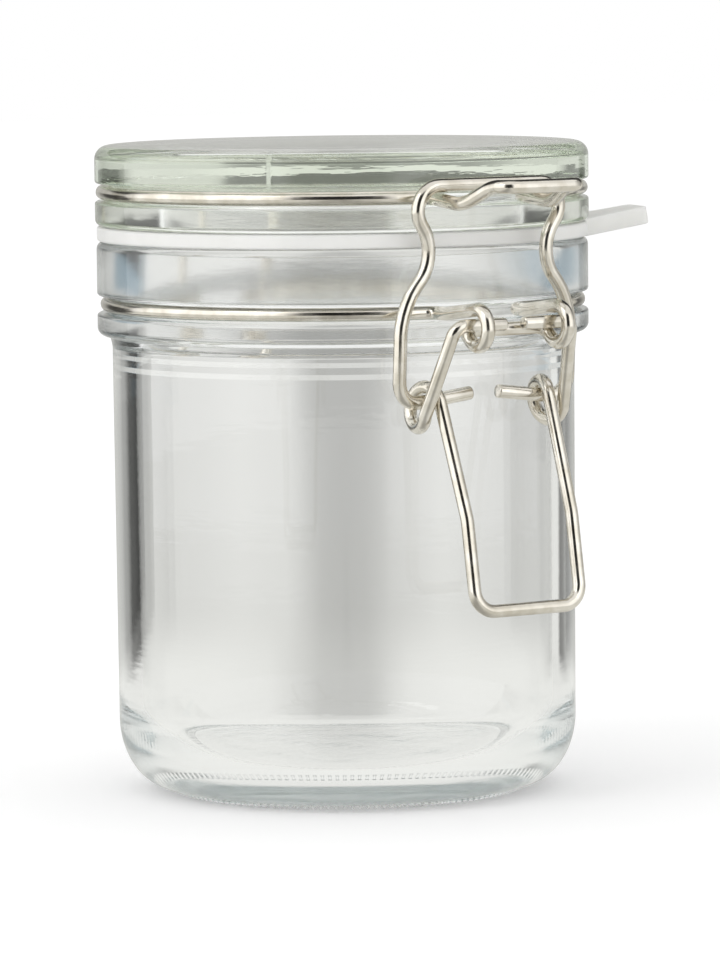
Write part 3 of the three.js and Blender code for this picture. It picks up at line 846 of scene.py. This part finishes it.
def makeFloor():
    finish, tree, shader = startMaterial("paleFloor")
    shader.inputs["Base Color"].default_value = (*studio["floorColor"], 1)
    shader.inputs["Roughness"].default_value = studio["floorRoughness"]
    shader.inputs["Specular IOR Level"].default_value = 0.0
    shader.inputs["Emission Color"].default_value = (1, 1, 1, 1)
    rays = lightPath(tree)
    lift = addMath(tree, "MULTIPLY", rays["Is Camera Ray"], studio["floorLift"])
    tree.links.new(lift, shader.inputs["Emission Strength"])
    # metal sees the floor dimmer in the middle, a painted reflection; glass sees it as the foot of the card,
    # and brighter under the jar, a painted pool of light
    spot = objectCoords(tree)
    sideways = addNode(tree, "ShaderNodeVectorMath", operation="DOT_PRODUCT")
    sideways.inputs[1].default_value = toRight
    tree.links.new(spot, sideways.inputs[0])
    offset = sideways.outputs["Value"]
    reach = lengthOf(tree, spot)
    inMetal = addGlow(tree, shadesAcross(tree, offset, metalFloorShades))
    beyond = addRange(tree, reach, studio["underJar"], curve="SMOOTHSTEP")
    throughGlass = addMix(tree, "RGBA", beyond, shadesAcross(tree, reach, underShades),
                          shadesAcross(tree, offset, footShades))
    seen = mixShaders(tree, rays["Is Transmission Ray"], inMetal, addGlow(tree, throughGlass))
    setSurface(tree, mixShaders(tree, rays["Is Glossy Ray"], shader.outputs["BSDF"], seen))
    bm = bmesh.new()
    bmesh.ops.create_grid(bm, x_segments=1, y_segments=1, size=studio["floorReach"])
    bmesh.ops.translate(bm, verts=bm.verts[:], vec=-upward * studio["floorDrop"])
    addObject("floor", bm, finish)


def setAside(piece):  # seen by mirror and see-through rays alone
    piece.visible_camera = False
    piece.visible_diffuse = False
    piece.visible_shadow = False


def makeCard(name, away, low, high, wide, finish):
    bm = bmesh.new()
    bmesh.ops.create_grid(bm, x_segments=1, y_segments=1, size=0.5)
    bmesh.ops.scale(bm, vec=(wide, high - low, 1), verts=bm.verts[:])
    card = addObject(name, bm, finish)
    side = upward.cross(flatToCamera).normalized()
    centre = -flatToCamera * away + upward * ((low + high) / 2)
    turned = Matrix((side, upward, flatToCamera)).transposed().to_4x4()
    card.matrix_world = Matrix.Translation(centre) @ turned
    setAside(card)
    return card


def makeBackCard(name, card):
    finish, tree = startGlow(name)
    tall = card["to"] - card["from"]
    spot = splitAxes(tree, objectCoords(tree))
    shade = shadesAcross(tree, spot["X"], card["shades"])
    if "fade" in card:  # the foot of the card runs out into the floor
        low, high = card["fade"]
        rise = addRange(tree, spot["Y"], (low - tall / 2, high - tall / 2), curve="SMOOTHSTEP")
        shade = addMix(tree, "RGBA", rise, shadesAcross(tree, spot["X"], footShades), shade)
    surface = addGlow(tree, shade)
    if "solid" in card:  # a card that runs out at the top and at both ends
        clearFrom = card["clearFrom"] - card["from"] - tall / 2
        under = addRange(tree, spot["Y"], (tall / 2, clearFrom), curve="SMOOTHSTEP")
        between = shadesAcross(tree, spot["X"], card["solid"], (1, 1, 1))
        clear = addNode(tree, "ShaderNodeBsdfTransparent").outputs["BSDF"]
        surface = mixShaders(tree, addMath(tree, "MULTIPLY", under, between), clear, surface)
    setSurface(tree, surface)
    away = card.get("away", backCardPlace["away"])
    made = makeCard(name, away, card["from"], card["to"], backCardPlace["wide"], finish)
    made.visible_glossy = card["seenBy"] != "glass"
    made.visible_transmission = card["seenBy"] != "metal"


def makeDarkHood():  # what metal sees over the cards
    h = darkHood
    finish, tree = startGlow("darkHood")
    glow = addNode(tree, "ShaderNodeEmission", Strength=h["shade"])
    setSurface(tree, glow.outputs["Emission"])
    hood = makeCard("darkHood", h["away"], h["from"], h["to"], h["wide"], finish)
    hood.visible_transmission = False


def makeFrontDrum():
    d = frontDrum
    finish, tree = startGlow("frontDrum")
    spot = splitAxes(tree, objectCoords(tree))
    bearing = addMath(tree, "ARCTAN2", spot["X"], spot["Y"])
    stops = [(0.5 + angle / 360, (part, part, part)) for angle, part in d["shades"]]
    shade = addRamp(tree, addRange(tree, bearing, (-math.pi, math.pi)), stops)
    inMetal = addRange(tree, shade, wanted=d["inMetal"])
    inGlass = addRange(tree, shade, wanted=d["inGlass"])
    glow = addNode(tree, "ShaderNodeEmission")
    strength = addMix(tree, "FLOAT", lightPath(tree)["Is Transmission Ray"], inMetal, inGlass)
    tree.links.new(strength, glow.inputs["Strength"])
    setSurface(tree, glow.outputs["Emission"])
    # a vertical edge swept round the jar, seen in a frame whose Y points at the camera
    bm = bmesh.new()
    start = math.radians(d["from"])
    sweep = d["to"] - d["from"]
    foot = bm.verts.new((d["radius"] * math.sin(start), d["radius"] * math.cos(start), 0))
    head = bmesh.ops.extrude_vert_indiv(bm, verts=[foot])
    bmesh.ops.translate(bm, verts=head["verts"], vec=upward * d["tall"])
    bmesh.ops.spin(bm, geom=bm.verts[:] + bm.edges[:], cent=(0, 0, 0), axis=(0, 0, -1), dvec=(0, 0, 0),
                   angle=math.radians(sweep), steps=round(sweep / d["step"]), use_merge=False,
                   use_duplicate=False)
    drum = addObject("frontDrum", bm, finish)
    turned = Matrix((toRight, flatToCamera, -upward)).transposed().to_4x4()
    drum.matrix_world = Matrix.Translation(upward * d["tall"]) @ turned
    setAside(drum)


def makeKeyLamp():
    k = keyLamp
    lamp = bpy.data.objects.new("keyLamp", bpy.data.lights.new("keyLamp", "AREA"))
    lamp.data.shape = "SQUARE"
    lamp.data.size = k["size"]
    lamp.data.energy = k["power"]
    centre = flatToCamera * k["toCamera"] - toRight * k["toLeft"] + upward * k["up"]
    back = (centre - upward * k["aimUp"]).normalized()
    lamp.matrix_world = Matrix.Translation(centre) @ back.to_track_quat("Z", "Y").to_matrix().to_4x4()
    bpy.context.scene.collection.objects.link(lamp)


makeWorld()
makeFloor()
for cardName, card in backCards.items():
    makeBackCard(cardName, card)
makeDarkHood()
makeFrontDrum()
makeKeyLamp()
print("studio set")

bpy.context.scene.view_settings.view_transform = "Standard"
# thick glass carries light round its edge through many inner reflections
lightBounces = {"max_bounces": 32, "glossy_bounces": 24, "transmission_bounces": 32}
for kind, count in lightBounces.items():
    setattr(bpy.context.scene.cycles, kind, count)
